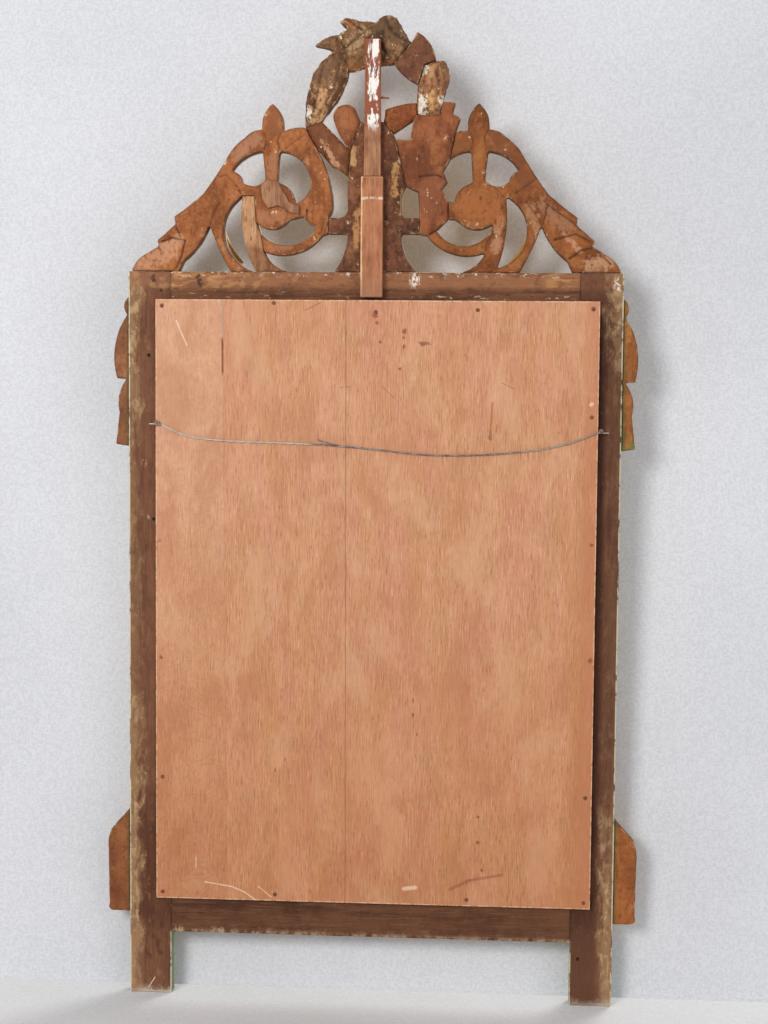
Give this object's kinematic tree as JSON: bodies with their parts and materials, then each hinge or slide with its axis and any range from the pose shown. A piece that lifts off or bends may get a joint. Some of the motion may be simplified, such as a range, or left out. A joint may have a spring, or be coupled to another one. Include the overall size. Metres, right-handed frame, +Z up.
{
  "type": "carved wall mirror",
  "caption": "Tall painted and gilded wall mirror with a pierced carved crest, side ears, short feet, a nailed plywood back and a slack wire to hang it by",
  "frame": {"origin": "middle of the box round the object, at the height of the soles of the feet", "axes": "+Z up, -Y the way the mirror faces, +Y the back with plywood and wire, +X the right side as seen from the front"},
  "size_m": [0.6674, 0.049, 1.223],
  "materials": {
    "frame_wood": "dark stained pine, painted green in front",
    "crest_wood": "raw carved back, gilded and painted front",
    "gilt_wood": "worn gilding over gesso",
    "batten_wood": "raw, with traces of white paint",
    "repair_wood": "pale new wood",
    "plywood": "bare rotary-cut veneer, stained",
    "silvered_plate": "old silvering",
    "nail_steel": "dull, partly rusted",
    "wire_zinc": "galvanised"
  },
  "bodies": {
    "mirror": {"stile_left": "frame_wood", "stile_right": "frame_wood", "rail_top": "frame_wood", "rail_bottom": "frame_wood", "glazing_blocks": "frame_wood", "crest_dowels": "frame_wood", "crest_scroll_left": "crest_wood", "crest_scroll_right": "crest_wood", "crest_post": "crest_wood", "trophy_bow": "crest_wood", "trophy_torch": "crest_wood", "trophy_arrow": "crest_wood", "trophy_quiver": "crest_wood", "wreath_branch": "crest_wood", "wreath_top": "crest_wood", "wreath_leaf": "crest_wood", "wreath_spray": "crest_wood", "ear_upper_left": "crest_wood", "ear_upper_right": "crest_wood", "ear_lower_left": "crest_wood", "ear_lower_right": "crest_wood", "sight_moulding_top": "gilt_wood", "sight_moulding_bottom": "gilt_wood", "sight_moulding_left": "gilt_wood", "sight_moulding_right": "gilt_wood", "outer_moulding_top": "gilt_wood", "outer_moulding_bottom": "gilt_wood", "outer_moulding_left": "gilt_wood", "outer_moulding_right": "gilt_wood", "rosette_left": "gilt_wood", "rosette_right": "gilt_wood", "batten_lower": "batten_wood", "batten_upper": "batten_wood", "repair_strip": "repair_wood", "repair_block": "repair_wood", "back_panel": "plywood", "mirror_glass": "silvered_plate", "panel_nails": "nail_steel", "wire_nail_left": "nail_steel", "wire_nail_right": "nail_steel", "wire_wrap_left": "wire_zinc", "wire_wrap_right": "wire_zinc"},
    "wire": {"hanging_wire": "wire_zinc"}
  },
  "joints": [
    {"name": "wire_swing", "type": "hinge", "parent": "mirror", "child": "wire", "pos_m": [0.263, 0.0178, 0.72455], "axis": [0.9999, 0, 0.0106], "range_deg": [0, 170]}
  ]
}
